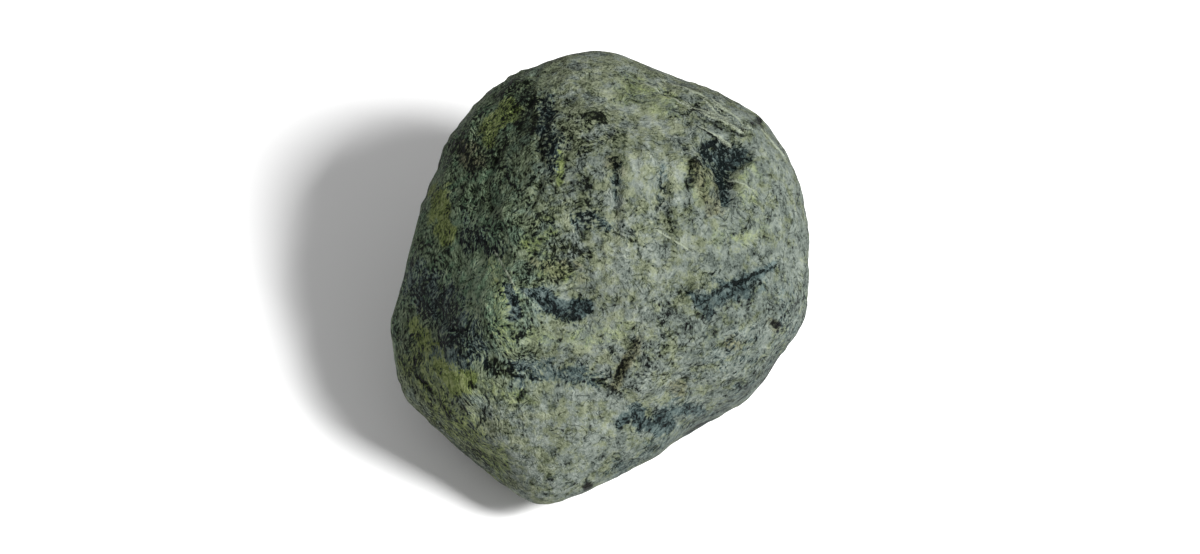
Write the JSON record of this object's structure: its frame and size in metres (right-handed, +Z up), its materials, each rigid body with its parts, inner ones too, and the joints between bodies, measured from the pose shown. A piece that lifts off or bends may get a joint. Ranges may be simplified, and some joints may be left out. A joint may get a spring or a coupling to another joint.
{
  "type": "serpentine rock",
  "caption": "Water-worn cobble of green serpentine with soft-edged faces, a pit and a shallow step, resting on a small worn flat spot.",
  "frame": {"origin": "middle of the stone's footprint box, on the ground plane it rests on", "axes": "+Z up from the ground, -Y towards the low nose and the best-seen side, +X to the right of that side"},
  "size_m": [0.1502, 0.1588, 0.1128],
  "materials": {
    "worn_serpentine": "matt, water-worn, mottled green and grey with dark and yellow-green patches"
  },
  "bodies": {
    "root": {"serpentine_rock": "worn_serpentine"}
  },
  "joints": []
}
